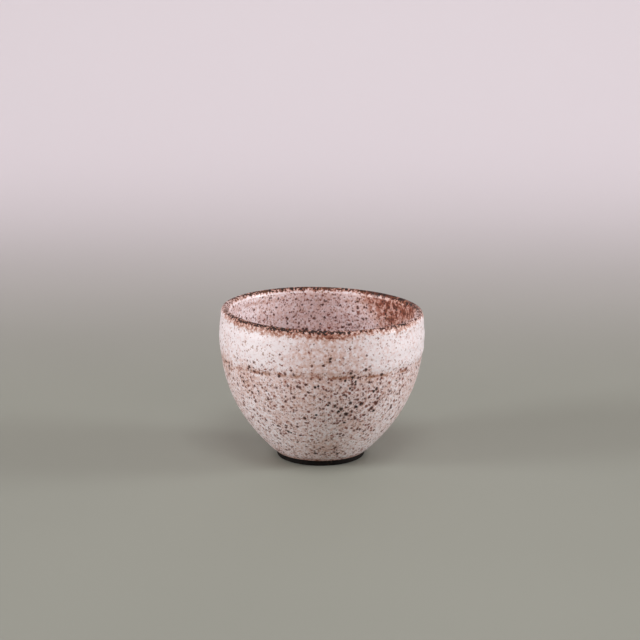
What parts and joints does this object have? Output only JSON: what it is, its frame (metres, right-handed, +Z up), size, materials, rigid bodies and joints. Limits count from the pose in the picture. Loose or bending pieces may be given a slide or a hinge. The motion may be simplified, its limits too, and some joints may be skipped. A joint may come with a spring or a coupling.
{
  "type": "ceramic cup",
  "caption": "Hand-thrown stoneware cup without a handle: a rounded bowl on a small foot ring, with overlapping speckled pale glaze coats and an iron-brown lip, for drinks.",
  "frame": {"origin": "middle of the foot ring, on the surface that the cup stands on", "axes": "+Z up along the axis on which the cup was thrown; X and Y level, any way round"},
  "size_m": [0.096, 0.096, 0.071],
  "materials": {
    "stoneware_clay": "matte",
    "foot_clay": "matte",
    "first_coat": "satin",
    "second_coat": "satin",
    "liner_coat": "satin",
    "inner_second_coat": "satin",
    "lip_coat": "satin"
  },
  "bodies": {
    "root": {"clay_body": "stoneware_clay", "foot_ring": "foot_clay", "outer_glaze": "first_coat", "shoulder_glaze": "second_coat", "liner_glaze": "liner_coat", "inner_rim_glaze": "inner_second_coat", "lip_glaze": "lip_coat"}
  },
  "joints": []
}
